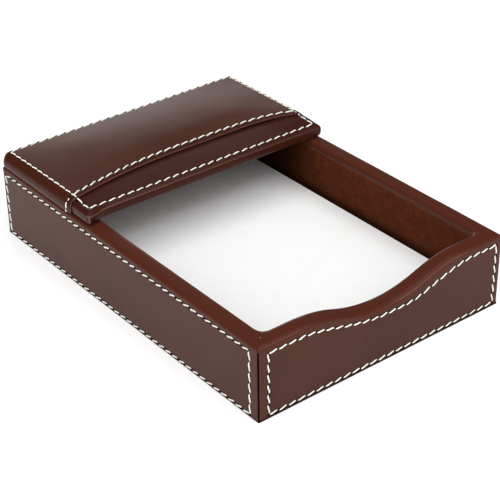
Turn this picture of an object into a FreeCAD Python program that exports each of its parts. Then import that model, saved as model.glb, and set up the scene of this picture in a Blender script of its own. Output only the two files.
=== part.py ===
import FreeCAD, Part
import math
import os
import Sketcher
from FreeCAD import Placement, Rotation, Vector

# Desk holder for loose 4 x 6 inch memo sheets: an open box of four leather-wrapped boards on a
# base board, lined with suede, with a scooped front wall for the fingers and a flat lid board
# that covers the rear third. X runs along the front wall, +Y to the rear, +Z up. The origin is
# at the middle of the whole outline, on the surface that the holder stands on. Millimetres.

doc = FreeCAD.newDocument("memo_holder")

# Driving dimensions: alias, value, what it is
drivingSizes = [
    ("paper_width", 101.6, "memo sheet across, 4 inches"),
    ("paper_length", 152.4, "memo sheet front to rear, 6 inches"),
    ("stack_height", 5.1, "thickness of the pile of sheets"),
    ("paper_gap", 2.3, "free space between the pile and each lining"),
    ("stack_lift", 0.1, "air between the pile and the floor lining"),
    ("wall_height", 32.1, "rim of the walls above the table"),
    ("board_thickness", 5.0, "wall boards"),
    ("leather_thickness", 1.2, "leather on the faces that show"),
    ("skived_thickness", 0.8, "leather thinned where it turns in"),
    ("lining_thickness", 1.0, "suede on card, on the walls and the floor"),
    ("rim_turn_in", 2.8, "how far the leather comes down inside the rim"),
    ("outer_edge_radius", 0.4, "board edge under the outer side of the rim"),
    ("inner_edge_radius", 0.6, "board edge under the inner side of the rim"),
    ("seam_setback", 0.2, "each wall cover stops this far short of the mitre"),
    ("corner_bevel", 0.5, "upright edge of a wall cover, eased where it meets the next"),
    ("bottom_bevel", 0.5, "lower edge of a wall cover, eased where it turns under"),
    ("pad_thickness", 1.0, "felt pad under the base board"),
    ("pad_gap", 0.5, "gap between the felt pad and the turned-under leather"),
    ("base_thickness", 3.0, "base board"),
    ("scoop_half_width", 41.0, "centre of the front wall to where the rim is level again"),
    ("scoop_depth", 7.3, "drop of the front rim at its centre"),
    ("lid_depth", 65.6, "lid from its front edge to its rear edge"),
    ("lid_overhang", 0.9, "lid beyond the outer faces of the walls"),
    ("lid_board_thickness", 4.0, "lid board"),
    ("lid_board_radius", 2.6, "rounding along the lid board's upper edges"),
    ("lid_turn_in", 8.0, "width of the leather turned under the lid"),
    ("lid_edge_radius", 3.6, "rounding along the upper edges of the lid"),
    ("lid_underedge_radius", 1.5, "rounding along the lower edges of the lid"),
    ("lid_front_corner_radius", 1.0, "rounding of the lid's front corners, seen from above"),
    ("lid_rear_corner_radius", 3.8, "rounding of the lid's rear corners, seen from above"),
    ("seam_from_front", 17.7, "lid's front edge to the middle of the upper panel's edge"),
    ("seam_sagitta", 6.7, "how far the ends of that edge come forward of its middle"),
    ("seam_edge_radius", 0.9, "rolled front edge of the upper panel"),
    ("seam_underlap", 8.0, "front strip running on under the upper panel"),
]

sheet = doc.addObject("Spreadsheet::Sheet", "Sizes")
for row, (alias, value, note) in enumerate(drivingSizes, start=1):
    sheet.set("A%d" % row, alias)
    sheet.set("B%d" % row, str(value))
    sheet.set("C%d" % row, note)
    sheet.setAlias("B%d" % row, alias)
doc.recompute()

# Lengths that several pieces share, as formulas of the driving dimensions
leather = "Sizes.leather_thickness"
skived = "Sizes.skived_thickness"
lining = "Sizes.lining_thickness"
overhang = "Sizes.lid_overhang"
boardInner = "(Sizes.leather_thickness + Sizes.board_thickness)"
coverInner = "(%s + %s)" % (boardInner, skived)
liningInner = "(%s + %s)" % (boardInner, lining)
boxHalfWidth = "(Sizes.paper_width/2 + Sizes.paper_gap + %s)" % liningInner
boxHalfLength = "(Sizes.paper_length/2 + Sizes.paper_gap + %s)" % liningInner
boxMiddleY = "(-%s/2)" % overhang
coverBottom = "(Sizes.pad_thickness - %s)" % skived
baseBottom = "Sizes.pad_thickness"
baseTop = "(Sizes.pad_thickness + Sizes.base_thickness)"
floorTop = "(%s + %s)" % (baseTop, lining)
rim = "Sizes.wall_height"
scoopRadius = "((Sizes.scoop_half_width^2 + Sizes.scoop_depth^2)/(4*Sizes.scoop_depth))"

lidRear = "(%s + %s/2)" % (boxHalfLength, overhang)
lidFront = "(%s - Sizes.lid_depth)" % lidRear
lidBoardBottom = "(%s + %s)" % (rim, skived)
lidBoardTop = "(%s + Sizes.lid_board_thickness)" % lidBoardBottom
lidStripTop = "(%s + %s)" % (lidBoardTop, leather)
lidTop = "(%s + %s)" % (lidStripTop, leather)
panelHalfWidth = "(%s + %s)" % (boxHalfWidth, overhang)
stripHalfWidth = "(%s - %s)" % (panelHalfWidth, skived)
lidBoardHalfWidth = "(%s - %s)" % (stripHalfWidth, skived)
seamMiddle = "(%s + Sizes.seam_from_front)" % lidFront
seamEnd = "(%s - Sizes.seam_sagitta)" % seamMiddle
stripRear = "(%s + Sizes.seam_underlap)" % seamMiddle
seamRadius = "((%s^2 + Sizes.seam_sagitta^2)/(2*Sizes.seam_sagitta))" % panelHalfWidth

tolerance = 1e-4


def measure(formula):
    """Value of a formula of the driving dimensions."""
    return float(sheet.evalExpression(formula))


def makeBody(label, x="0", y="0", z="0", turn=0.0):
    """A body at the given place, turned about the vertical."""
    body = doc.addObject("PartDesign::Body", label)
    body.Placement = Placement(Vector(), Rotation(Vector(0, 0, 1), turn))
    for axis, formula in (("x", x), ("y", y), ("z", z)):
        body.setExpression("Placement.Base." + axis, formula)
    return body


def arcBetween(start, end, radius, turn):
    """Arc from start to end, counterclockwise where turn is 1 and clockwise where it is -1."""
    chord = end - start
    rise = math.sqrt(radius ** 2 - (chord.Length / 2) ** 2)
    towards = Vector(-chord.y, chord.x, 0).normalize() * turn
    centre = (start + end) / 2 + towards * rise
    first, last = (start, end) if turn > 0 else (end, start)
    angles = [math.atan2(point.y - centre.y, point.x - centre.x) for point in (first, last)]
    return Part.ArcOfCircle(Part.Circle(centre, Vector(0, 0, 1), radius), angles[0], angles[1])


def drawLoop(body, role, name, corners, arcs=None):
    """Closed sketch on one of the body's origin planes. corners are pairs of formulas, and arcs
    says which edges are arcs: edge number to (radius formula, turn)."""
    arcs = arcs or {}
    plane = [item for item in body.Origin.OriginFeatures if item.Role == role][0]
    sketch = body.newObject("Sketcher::SketchObject", name)
    sketch.AttachmentSupport = (plane, [""])
    sketch.MapMode = "FlatFace"
    points = [Vector(measure(across), measure(up), 0) for across, up in corners]
    ends = []
    for number, start in enumerate(points):
        end = points[(number + 1) % len(points)]
        if number in arcs:
            radius, turn = arcs[number]
            edge = sketch.addGeometry(arcBetween(start, end, measure(radius), turn), False)
            fixed = sketch.addConstraint(Sketcher.Constraint("Radius", edge, measure(radius)))
            sketch.setExpression("Constraints[%d]" % fixed, radius)
            ends.append((edge, 1, 2) if turn > 0 else (edge, 2, 1))
        else:
            edge = sketch.addGeometry(Part.LineSegment(start, end), False)
            ends.append((edge, 1, 2))
    for number, (edge, first, last) in enumerate(ends):
        previous = ends[number - 1]
        joint = Sketcher.Constraint("Coincident", previous[0], previous[2], edge, first)
        sketch.addConstraint(joint)
        for kind, formula in zip(("DistanceX", "DistanceY"), corners[number]):
            rule = Sketcher.Constraint(kind, -1, 1, edge, first, measure(formula))
            fixed = sketch.addConstraint(rule)
            sketch.setExpression("Constraints[%d]" % fixed, formula)
    return sketch


def rectangle(left, right, low, high):
    """Corner formulas of a rectangle, counterclockwise."""
    return [(left, low), (right, low), (right, high), (left, high)]


def pad(body, sketch, length):
    """Pad upwards along the sketch's normal."""
    feature = body.newObject("PartDesign::Pad", sketch.Name + "_pad")
    feature.Profile = sketch
    feature.setExpression("Length", length)
    doc.recompute()


def pocketThrough(body, sketch):
    """Pocket right through the body, both ways. It has to take something away."""
    before = body.Shape.Volume
    feature = body.newObject("PartDesign::Pocket", sketch.Name + "_pocket")
    feature.Profile = sketch
    feature.Type = "ThroughAll"
    feature.Midplane = True
    doc.recompute()
    if body.Shape.Volume > before - tolerance:
        raise RuntimeError(feature.Name + " cuts nothing")


def dressEdges(body, kind, name, size, wanted):
    """Fillet or chamfer the edges of the body's present shape for which wanted says yes."""
    base = body.Tip
    names = ["Edge%d" % (number + 1) for number, edge in enumerate(base.Shape.Edges)
             if wanted(edge)]
    if not names:
        raise RuntimeError(name + " finds no edge")
    feature = body.newObject("PartDesign::" + kind, name)
    feature.Base = (base, names)
    feature.setExpression("Radius" if kind == "Fillet" else "Size", size)
    doc.recompute()


def roundEdges(body, name, radius, wanted):
    dressEdges(body, "Fillet", name, radius, wanted)


def bevelEdges(body, name, size, wanted):
    dressEdges(body, "Chamfer", name, size, wanted)


def box(label, left, right, front, rear, bottom, height):
    """Plain board, pad or pile, as a padded rectangle."""
    body = makeBody(label, z=bottom)
    sketch = drawLoop(body, "XY_Plane", label + "_plan", rectangle(left, right, front, rear))
    pad(body, sketch, height)
    return body


def negative(formula):
    return "(-%s)" % formula


def span(body, level):
    """Lowest or highest coordinate of an edge's or body's box."""
    return getattr(body.BoundBox, level)


# Base: felt pad, board and floor lining, all centred under the box
def centredBox(label, inset, bottom, height):
    halfX = "(%s - %s)" % (boxHalfWidth, inset)
    front = "(%s - %s + %s)" % (boxMiddleY, boxHalfLength, inset)
    rear = "(%s + %s - %s)" % (boxMiddleY, boxHalfLength, inset)
    return box(label, negative(halfX), halfX, front, rear, bottom, height)


basePad = centredBox("base_pad", "(%s + Sizes.pad_gap)" % coverInner, "0", baseBottom)
baseBoard = centredBox("base_board", leather, baseBottom, "Sizes.base_thickness")
floorLining = centredBox("floor_lining", liningInner, baseTop, lining)


# Walls. Each is drawn as the front wall, with its outer face on Y = 0 and the tray behind it
def wallSlab(label, wall, near, far, bottom, drop, setback="0"):
    """Mitred slab between two depths of a wall, its top drop below the rim."""
    body = makeBody(label, wall["x"], wall["y"], bottom, wall["turn"])
    halves = ["(%s - %s - %s)" % (wall["half"], depth, setback) for depth in (near, far)]
    plan = [(negative(halves[0]), near), (halves[0], near),
            (halves[1], far), (negative(halves[1]), far)]
    sketch = drawLoop(body, "XY_Plane", label + "_plan", plan)
    height = "(%s - %s - %s)" % (rim, drop, bottom)
    pad(body, sketch, height)
    if wall["scooped"]:
        cutScoop(body, label, height, drop)
    return body


def cutScoop(body, label, top, drop):
    """Take the finger scoop out of a slab: two shoulder arcs and a dip of the same radius, all
    moved inwards by drop."""
    shift = "(%s/%s)" % (drop, scoopRadius)
    bendX = "(Sizes.scoop_half_width/2*(1 + %s))" % shift
    bendZ = "(%s - Sizes.scoop_depth/2*(1 - %s))" % (top, shift)
    above = "(%s + Sizes.scoop_depth)" % top
    corners = [(negative("Sizes.scoop_half_width"), top), (negative(bendX), bendZ),
               (bendX, bendZ), ("Sizes.scoop_half_width", top),
               ("Sizes.scoop_half_width", above), (negative("Sizes.scoop_half_width"), above)]
    shoulder = "(%s - %s)" % (scoopRadius, drop)
    dip = "(%s + %s)" % (scoopRadius, drop)
    arcs = {0: (shoulder, -1), 1: (dip, 1), 2: (shoulder, -1)}
    sketch = drawLoop(body, "XZ_Plane", label + "_scoop", corners, arcs)
    pocketThrough(body, sketch)


def rimEdge(depth, lowest):
    """Picks the upper edges of a slab that lie at one depth of the wall."""
    def wanted(edge):
        atDepth = abs(span(edge, "YMin") - depth) < tolerance
        flat = abs(span(edge, "YMax") - depth) < tolerance
        return atDepth and flat and span(edge, "ZMin") > lowest
    return wanted


def roundRim(body, label, near, far, nearRadius, farRadius):
    """Round both upper edges of a slab, along the level rim and the scoop."""
    lowest = span(body.Tip.Shape, "ZMax") - measure("Sizes.scoop_depth") - 10 * tolerance
    roundEdges(body, label + "_outer_edge", nearRadius, rimEdge(measure(near), lowest))
    roundEdges(body, label + "_inner_edge", farRadius, rimEdge(measure(far), lowest))


walls = [
    {"name": "front", "half": boxHalfWidth, "turn": 0.0, "scooped": True,
     "x": "0", "y": "(%s - %s)" % (boxMiddleY, boxHalfLength)},
    {"name": "right", "half": boxHalfLength, "turn": 90.0, "scooped": False,
     "x": boxHalfWidth, "y": boxMiddleY},
    {"name": "rear", "half": boxHalfWidth, "turn": 180.0, "scooped": False,
     "x": "0", "y": "(%s + %s)" % (boxMiddleY, boxHalfLength)},
    {"name": "left", "half": boxHalfLength, "turn": -90.0, "scooped": False,
     "x": negative(boxHalfWidth), "y": boxMiddleY},
]

outerRimRadius = "(Sizes.outer_edge_radius + %s)" % leather
innerRimRadius = "(Sizes.inner_edge_radius + %s)" % skived


def wallBoard(wall):
    label = wall["name"] + "_wall_board"
    body = wallSlab(label, wall, leather, boardInner, baseTop, leather)
    roundRim(body, label, leather, boardInner,
             "Sizes.outer_edge_radius", "Sizes.inner_edge_radius")
    return body


def wallLining(wall):
    label = wall["name"] + "_wall_lining"
    return wallSlab(label, wall, boardInner, liningInner, baseTop, "Sizes.rim_turn_in")


def wallCover(wall, board, panel):
    """Leather over a wall: down the outer face, over the rim and a little way down inside, and
    turned under the base board. It is the whole wall's outline less all that it wraps."""
    label = wall["name"] + "_wall_cover"
    blank = wallSlab(label + "_blank", wall, "0", coverInner, coverBottom, "0",
                     "Sizes.seam_setback")
    roundRim(blank, label, "0", coverInner, outerRimRadius, innerRimRadius)
    half = measure("(%s - Sizes.seam_setback)" % wall["half"])

    def cornerEdge(edge):
        onFace = span(edge, "YMax") < tolerance
        atEnd = span(edge, "XMin") > half - tolerance or span(edge, "XMax") < tolerance - half
        return onFace and atEnd
    bevelEdges(blank, label + "_corner_bevel", "Sizes.corner_bevel", cornerEdge)

    def bottomEdge(edge):
        low = span(edge, "ZMax") < tolerance
        length = span(edge, "XMax") - span(edge, "XMin")
        return low and span(edge, "YMax") < tolerance and length > half
    bevelEdges(blank, label + "_bottom_bevel", "Sizes.bottom_bevel", bottomEdge)
    wrapped = doc.addObject("Part::MultiFuse", label + "_core")
    wrapped.Shapes = [board, panel, baseBoard]
    cover = doc.addObject("Part::Cut", label)
    cover.Base = blank
    cover.Tool = wrapped
    doc.recompute()
    return cover


subparts = [basePad, baseBoard, floorLining]
for wall in walls:
    board = wallBoard(wall)
    panel = wallLining(wall)
    subparts += [board, panel, wallCover(wall, board, panel)]

# Lid: a board with a front strip and an upper panel of leather, lapped along a curved seam
lidBoardFront = "(%s + %s)" % (lidFront, leather)
lidBoardRear = "(%s - %s)" % (lidRear, skived)
lidBoard = box("lid_board", negative(lidBoardHalfWidth), lidBoardHalfWidth,
               lidBoardFront, lidBoardRear, lidBoardBottom, "Sizes.lid_board_thickness")
roundEdges(lidBoard, "lid_board_upper_edges", "Sizes.lid_board_radius",
           lambda edge: span(edge, "ZMin") > span(lidBoard.Tip.Shape, "ZMax") - tolerance)
paddingHalf = "(%s - Sizes.lid_board_radius)" % lidBoardHalfWidth
lidPadding = box("lid_padding", negative(paddingHalf), paddingHalf, stripRear,
                 "(%s - Sizes.lid_board_radius)" % lidBoardRear, lidBoardTop, leather)
liningHalf = "(%s - Sizes.lid_turn_in)" % lidBoardHalfWidth
lidLining = box("lid_lining", negative(liningHalf), liningHalf,
                "(%s + Sizes.lid_turn_in)" % lidBoardFront,
                "(%s - Sizes.lid_turn_in)" % lidBoardRear, rim, skived)


def standing(edge):
    """An upright straight edge."""
    return span(edge, "XMax") - span(edge, "XMin") < tolerance \
        and span(edge, "YMax") - span(edge, "YMin") < tolerance


def leatherOverLid(label, corners, arcs, height, cornerRadius, openSide, wrapped):
    """Leather that wraps part of the lid. openSide says whether a point lies on the side where
    the leather ends, which gets no rounding."""
    blank = makeBody(label + "_blank", z=rim)
    pad(blank, drawLoop(blank, "XY_Plane", label + "_plan", corners, arcs), height)

    def closed(edge):
        return not any(openSide(vertex.Point) for vertex in edge.Vertexes)
    roundEdges(blank, label + "_corners", cornerRadius,
               lambda edge: standing(edge) and closed(edge))
    top = span(blank.Tip.Shape, "ZMax")

    def outerRun(level):
        def wanted(edge):
            flat = abs(span(edge, "ZMin") - level) < tolerance \
                and abs(span(edge, "ZMax") - level) < tolerance
            return flat and not all(openSide(vertex.Point) for vertex in edge.Vertexes)
        return wanted
    roundEdges(blank, label + "_upper_edges", "Sizes.lid_edge_radius", outerRun(top))
    roundEdges(blank, label + "_lower_edges", "Sizes.lid_underedge_radius", outerRun(0.0))
    core = doc.addObject("Part::MultiFuse", label + "_core")
    core.Shapes = wrapped
    return blank, core


def cutCore(label, blank, core):
    cover = doc.addObject("Part::Cut", label)
    cover.Base = blank
    cover.Tool = core
    doc.recompute()
    return cover


stripBlank, stripCore = leatherOverLid(
    "lid_front_cover",
    rectangle(negative(stripHalfWidth), stripHalfWidth, lidFront, stripRear), None,
    "(%s - %s)" % (lidStripTop, rim), "Sizes.lid_front_corner_radius",
    lambda point: point.y > measure(stripRear) - tolerance, [lidBoard, lidLining])
lidFrontCover = cutCore("lid_front_cover", stripBlank, stripCore)

seamEndY = measure(seamEnd)
panelCorners = [(negative(panelHalfWidth), seamEnd), (panelHalfWidth, seamEnd),
                (panelHalfWidth, lidRear), (negative(panelHalfWidth), lidRear)]
panelBlank, panelCore = leatherOverLid(
    "lid_top_cover", panelCorners, {0: (seamRadius, -1)}, "(%s - %s)" % (lidTop, rim),
    "Sizes.lid_rear_corner_radius", lambda point: abs(point.y - seamEndY) < tolerance,
    [lidBoard, lidLining, lidPadding, lidFrontCover])


def seamEdge(edge):
    """The upper rim of the panel's curved front face, over the rounded sides too."""
    onFace = span(edge, "YMax") < measure(seamMiddle) + tolerance
    start = span(panelBlank.Tip.Shape, "ZMax") - measure("Sizes.lid_edge_radius") - tolerance
    return onFace and span(edge, "ZMin") > start and span(edge, "YMin") > seamEndY - tolerance \
        and not abs(span(edge, "XMax") - span(edge, "XMin")) < tolerance


roundEdges(panelBlank, "lid_top_cover_seam_edge", "Sizes.seam_edge_radius", seamEdge)
lidTopCover = cutCore("lid_top_cover", panelBlank, panelCore)
subparts += [lidBoard, lidPadding, lidLining, lidFrontCover, lidTopCover]

# Pile of loose sheets, lying in the middle of the floor
memoSheets = box("memo_sheets", "(-Sizes.paper_width/2)", "(Sizes.paper_width/2)",
                 "(%s - Sizes.paper_length/2)" % boxMiddleY,
                 "(%s + Sizes.paper_length/2)" % boxMiddleY,
                 "(%s + Sizes.stack_lift)" % floorTop, "Sizes.stack_height")
subparts.append(memoSheets)

doc.recompute()
for item in doc.Objects:
    if "Invalid" in item.State or "Error" in item.State:
        raise RuntimeError("%s is in state %s" % (item.Name, item.State))
os.makedirs("parts", exist_ok=True)
for item in subparts:
    shape = item.Shape
    if shape.isNull() or not shape.isValid() or len(shape.Solids) != 1:
        raise RuntimeError("%s has no single valid solid" % item.Label)
    shape.exportStep("parts/%s.step" % item.Label)
    bounds = shape.optimalBoundingBox(False, False)
    print("%-20s %8.0f mm3  x %7.2f %7.2f  y %7.2f %7.2f  z %6.2f %6.2f" % (
        item.Label, shape.Volume, bounds.XMin, bounds.XMax, bounds.YMin, bounds.YMax,
        bounds.ZMin, bounds.ZMax))
print("box %.2f x %.2f, lid front at y %.2f, seam from y %.2f to %.2f" % (
    2 * measure(boxHalfWidth), 2 * measure(boxHalfLength), measure(lidFront), seamEndY,
    measure(seamMiddle)))
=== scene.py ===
import bmesh
import bpy
import math
import random
from mathutils import Matrix, Vector, noise


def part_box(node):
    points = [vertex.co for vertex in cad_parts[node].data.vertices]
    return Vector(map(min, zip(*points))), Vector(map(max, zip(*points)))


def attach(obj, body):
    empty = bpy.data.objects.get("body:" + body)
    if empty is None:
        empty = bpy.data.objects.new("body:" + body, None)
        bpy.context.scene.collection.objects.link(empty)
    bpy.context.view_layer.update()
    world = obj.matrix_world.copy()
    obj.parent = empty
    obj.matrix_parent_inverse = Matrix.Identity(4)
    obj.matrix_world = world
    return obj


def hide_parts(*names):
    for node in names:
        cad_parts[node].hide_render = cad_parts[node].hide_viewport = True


# Desk holder for loose 4 x 6 inch memo sheets: four leather-wrapped walls, a scooped front, a
# suede lining and a flat lid over the rear third. The places below are in millimetres and are
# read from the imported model; mm turns them to metres.
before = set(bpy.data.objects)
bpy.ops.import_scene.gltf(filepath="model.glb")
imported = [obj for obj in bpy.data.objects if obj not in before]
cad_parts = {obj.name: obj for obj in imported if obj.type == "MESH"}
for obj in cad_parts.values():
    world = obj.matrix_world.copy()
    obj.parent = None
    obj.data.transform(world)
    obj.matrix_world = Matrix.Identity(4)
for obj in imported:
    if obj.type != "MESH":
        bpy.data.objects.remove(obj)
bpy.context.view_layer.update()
mm = 0.001
near = 0.02  # how close a vertex has to be to a line to count as on it, in mm
upward = Vector((0, 0, 1))


def edges(node):
    low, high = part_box(node)
    return low / mm, high / mm


boxLow, boxHigh = edges("front_wall_cover")[0], edges("rear_wall_cover")[1]
stripLow, stripHigh = edges("lid_front_cover")
panelLow, panelHigh = edges("lid_top_cover")
rim = edges("right_wall_cover")[1].z


# Handwork: small steps that every piece uses
def clearSelection():
    if bpy.context.mode != "OBJECT":
        bpy.ops.object.mode_set(mode="OBJECT")
    bpy.ops.object.select_all(action="DESELECT")


def takeUp(piece, mode="OBJECT"):
    clearSelection()
    piece.select_set(True)
    bpy.context.view_layer.objects.active = piece
    bpy.ops.object.mode_set(mode=mode)


def newPiece(name, shape, low, high):  # plane or cube between two corners, left in edit mode
    clearSelection()
    size, middle = (high - low) * mm, (high + low) / 2 * mm
    if shape == "plane":
        bpy.ops.mesh.primitive_plane_add(size=1, location=middle)
        bpy.ops.transform.resize(value=(size.x, size.y, 1), center_override=middle)
    else:
        bpy.ops.mesh.primitive_cube_add(size=1, location=middle, scale=size)
    piece = bpy.context.object
    piece.name = piece.data.name = name
    bpy.ops.object.transform_apply(location=True, rotation=True, scale=True)
    bpy.ops.object.mode_set(mode="EDIT")
    return piece


def nearAny(value, places):
    return min(abs(value - spot) for spot in places) < near


def pick(kind, rule):  # in edit mode: takes the vertices, or whole edges, where rule says yes
    bpy.ops.mesh.select_mode(type=kind)
    bpy.ops.mesh.select_all(action="DESELECT")
    draft = bmesh.from_edit_mesh(bpy.context.edit_object.data)
    if kind == "VERT":
        for vertex in draft.verts:
            vertex.select = bool(rule(vertex.co / mm))
    else:
        for edge in draft.edges:
            if all(rule(vertex.co / mm) for vertex in edge.verts):
                edge.select_set(True)
    draft.select_flush_mode()
    bmesh.update_edit_mesh(bpy.context.edit_object.data)


def cutAcross(axis, places):  # bisects the whole piece at each place along X, Y or Z
    normal = [float(axis == letter) for letter in "XYZ"]
    for place in places:
        bpy.ops.mesh.select_all(action="SELECT")
        bpy.ops.mesh.bisect(plane_co=[place * mm * part for part in normal], plane_no=normal,
                            threshold=1e-7)


def push(rule, x=0.0, y=0.0, z=0.0):  # takes the vertices and moves them by so many mm
    pick("VERT", rule)
    bpy.ops.transform.translate(value=(x * mm, y * mm, z * mm))


def drawOut(x=0.0, y=0.0, z=0.0):  # extrudes what is selected
    bpy.ops.mesh.extrude_region_move(
        TRANSFORM_OT_translate={"value": (x * mm, y * mm, z * mm)})


def nudge(piece, rule):  # moves every vertex by what rule gives for its place, in mm
    for vertex in piece.data.vertices:
        vertex.co += Vector(rule(*(vertex.co / mm), vertex.normal)) * mm


def mark(piece, name, rule):  # writes a number between 0 and 1 on every vertex
    layer = piece.data.attributes.new(name, "FLOAT", "POINT")
    for vertex in piece.data.vertices:
        layer.data[vertex.index].value = max(0.0, min(1.0, rule(*(vertex.co / mm))))


def faceOutwards(piece, test, outward):  # test picks a face, outward is where it has to look
    takeUp(piece, "EDIT")
    bpy.ops.mesh.select_all(action="SELECT")
    bpy.ops.mesh.normals_make_consistent(inside=False)
    bpy.ops.object.mode_set(mode="OBJECT")
    face = min(piece.data.polygons, key=lambda item: (item.center / mm - test).length)
    if face.normal.dot(outward) < 0:
        bpy.ops.object.mode_set(mode="EDIT")
        bpy.ops.mesh.select_all(action="SELECT")
        bpy.ops.mesh.flip_normals()
        bpy.ops.object.mode_set(mode="OBJECT")


def smooth(piece, degrees=50):
    takeUp(piece)
    bpy.ops.object.shade_smooth_by_angle(angle=math.radians(degrees))


def thicken(piece, leatherMm, degrees, **settings):  # inwards, then rounded once
    settings = {"thickness": leatherMm * mm, "offset": -1.0, **settings}
    takeUp(piece)
    for kind, values in (("SOLIDIFY", settings), ("SUBSURF", {"levels": 1, "render_levels": 1})):
        modifier = piece.modifiers.new(kind.lower(), kind)
        for key, value in values.items():
            setattr(modifier, key, value)
        bpy.ops.object.modifier_apply(modifier=modifier.name)
    smooth(piece, degrees)


def addCopy(draft, source, matrix):  # one more of a part that repeats
    copied = source.data.copy()
    copied.transform(matrix)
    draft.from_mesh(copied)
    bpy.data.meshes.remove(copied)


def finishDraft(draft, name):
    mesh = bpy.data.meshes.new(name)
    draft.to_mesh(mesh)
    draft.free()
    mesh.update()
    piece = bpy.data.objects.new(name, mesh)
    bpy.context.scene.collection.objects.link(piece)
    return piece


def ramp(value, start, end):  # 0 at start, 1 at end, eased
    part = max(0.0, min(1.0, (value - start) / (end - start)))
    return part * part * (3 - 2 * part)


def waver(x, y, z, size, seed):  # slow unevenness between -1 and 1, size in mm
    return noise.noise(Vector((x, y, z)) / size + Vector((seed, 0, 0)))


# Materials
def linear(code):  # "#rrggbb" as the shader wants it
    parts = [int(code[start:start + 2], 16) / 255 for start in (1, 3, 5)]
    return [part / 12.92 if part <= 0.04045 else ((part + 0.055) / 1.055) ** 2.4
            for part in parts] + [1.0]


def addNode(tree, kind, settings=(), sockets=()):
    node = tree.nodes.new(kind)
    for key, value in dict(settings).items():
        setattr(node, key, value)
    for key, value in dict(sockets).items():
        if isinstance(value, bpy.types.NodeSocket):
            tree.links.new(value, node.inputs[key])
        else:
            node.inputs[key].default_value = value
    return node


def newMaterial(name):
    material = bpy.data.materials.new(name)
    material.use_nodes = True
    tree = material.node_tree
    tree.nodes.clear()
    return material, tree, addNode(tree, "ShaderNodeTexCoord").outputs["Object"]


def finishMaterial(tree, colour, rough, height, reliefMm, strength, specular, **surface):
    bump = addNode(tree, "ShaderNodeBump", (), {
        "Height": height, "Distance": reliefMm * mm, "Strength": strength})
    shader = addNode(tree, "ShaderNodeBsdfPrincipled", (), {
        "Base Color": colour, "Roughness": rough, "Normal": bump.outputs[0],
        "Specular IOR Level": specular, **surface})
    addNode(tree, "ShaderNodeOutputMaterial", (), {"Surface": shader.outputs[0]})


def mixColour(tree, factor, first, second):
    return addNode(tree, "ShaderNodeMix", {"data_type": "RGBA"}, {
        0: factor, 6: first, 7: second}).outputs[2]


def mixValue(tree, factor, first, second):
    return addNode(tree, "ShaderNodeMix", {"data_type": "FLOAT"}, {
        0: factor, 2: first, 3: second}).outputs[0]


def noiseOf(tree, place, sizeMm, detail, **sockets):
    return addNode(tree, "ShaderNodeTexNoise", (), {
        "Vector": place, "Scale": 1 / (sizeMm * mm), "Detail": detail, **sockets}).outputs["Fac"]


def remap(tree, value, low, high, start=0.0, end=1.0):  # low and high become start and end
    return addNode(tree, "ShaderNodeMapRange", (), {
        0: value, 1: low, 2: high, 3: start, 4: end}).outputs[0]


def readMark(tree, name):  # what mark wrote on the vertices
    return addNode(tree, "ShaderNodeAttribute", {"attribute_name": name}).outputs["Fac"]


# Smooth split cowhide, drum dyed and lightly waxed: an even red-brown. The flat faces are a
# little greyer with a painted sheen, the edges redder where the leather is stretched and that
# sheen is left out. Pale lines along edges are partly pulled-up leather and partly painted
# highlight. Painted shade darkens stitch grooves, gaps and undersides, and parts of the lid
leatherLook = {"face": "#49271b", "blotch": "#432218", "margin": "#4f2519", "paleEdgeAndHighlight": "#93695a",
               "shade": "#2f110a", "seam": "#0c0504", "blotchMm": 26.0, "creaseMm": 1.3,
               "poreMm": 0.55, "roughLow": 0.19, "roughHigh": 0.27, "roughSeam": 0.95}


def makeLeather():
    look = leatherLook
    material, tree, place = newMaterial("waxed_cowhide")
    blotches = noiseOf(tree, place, look["blotchMm"], 3.0)
    creases = addNode(tree, "ShaderNodeTexVoronoi", {"feature": "DISTANCE_TO_EDGE"}, {
        "Vector": place, "Scale": 1 / (look["creaseMm"] * mm), "Randomness": 1.0})
    pores = noiseOf(tree, place, look["poreMm"], 2.0)
    marks = {name: readMark(tree, name) for name in ("margin", "shade", "paleEdgeAndHighlight", "seam")}
    marks["paleEdgeAndHighlight"] = addNode(tree, "ShaderNodeMath", {"operation": "MULTIPLY"}, {
        0: marks["paleEdgeAndHighlight"], 1: remap(tree, pores, 0.3, 0.6, 0.35, 1.0)}).outputs[0]
    colour = mixColour(tree, remap(tree, blotches, 0.35, 0.65), linear(look["face"]),
                       linear(look["blotch"]))
    for name, factor in marks.items():
        colour = mixColour(tree, factor, colour, linear(look[name]))
    rough = remap(tree, pores, 0.3, 0.7, look["roughLow"], look["roughHigh"])
    rough = mixValue(tree, marks["seam"], rough, look["roughSeam"])
    grooved = remap(tree, creases.outputs["Distance"], 0.0, 0.12)
    finishMaterial(tree, colour, rough, mixValue(tree, 0.45, grooved, pores),
                   reliefMm=0.03, strength=0.3, specular=0.11)
    return material


# Sueded microfibre cloth on card: short brushed nap, blotchy where it was stroked, matt;
# painted shade darkens it low down and deep under the lid
suedeLook = {"nap": "#632f15", "stroked": "#3b190a", "edge": "#80614a",
             "shadedNap": "#140a06", "sheen": "#8a4a28", "strokeMm": 4.6, "napMm": 0.8}


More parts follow.
